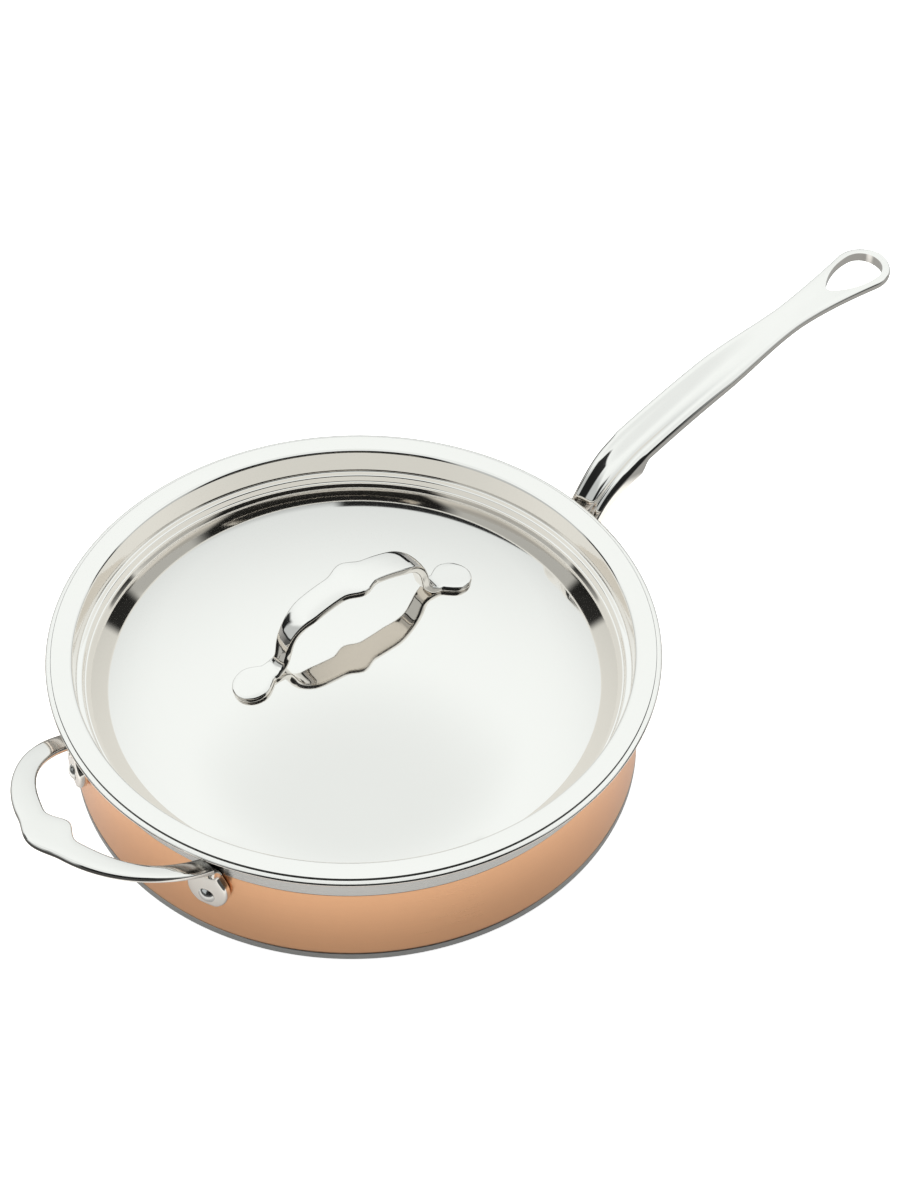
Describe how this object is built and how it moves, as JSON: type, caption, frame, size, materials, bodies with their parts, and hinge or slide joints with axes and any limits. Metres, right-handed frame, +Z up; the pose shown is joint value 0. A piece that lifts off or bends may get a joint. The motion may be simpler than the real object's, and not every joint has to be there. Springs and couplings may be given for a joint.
{
  "type": "cooking pot with lid",
  "caption": "Copper-clad saute pan with a mirror-polished domed steel lid, one long cast handle with a hanging hole, and a helper loop handle opposite.",
  "frame": {"origin": "centre of the pan's round base, on the table", "axes": "+X along the long handle, +Z up, +Y to the left when looking along the long handle from the pan"},
  "size_m": [0.561, 0.3, 0.1173],
  "materials": {
    "base_steel": "satin grey magnetic steel",
    "copper": "satin copper, warm pink-orange",
    "core_aluminium": "plain sheet, sealed inside",
    "pan_steel": "bright stainless steel, finely brushed inside",
    "band_steel": "brushed stainless band",
    "cast_steel": "mirror-polished cast stainless steel",
    "rivet_steel": "polished stainless rivet",
    "lid_steel": "mirror-polished stainless sheet"
  },
  "bodies": {
    "pan": {"base_plate": "base_steel", "copper_shell": "copper", "aluminium_core": "core_aluminium", "steel_liner": "pan_steel", "rim_band": "band_steel", "long_handle": "cast_steel", "long_handle_rivet_1": "rivet_steel", "long_handle_rivet_2": "rivet_steel", "long_handle_rivet_3": "rivet_steel", "helper_handle": "cast_steel", "helper_rivet_1": "rivet_steel", "helper_rivet_2": "rivet_steel"},
    "lid": {"lid_shell": "lid_steel", "lid_handle": "cast_steel", "lid_rivet_1": "rivet_steel", "lid_rivet_2": "rivet_steel"}
  },
  "joints": [
    {"name": "lid_lift", "type": "slide", "parent": "pan", "child": "lid", "axis": [0, 0, 1], "range_m": [0, 0.15]}
  ]
}
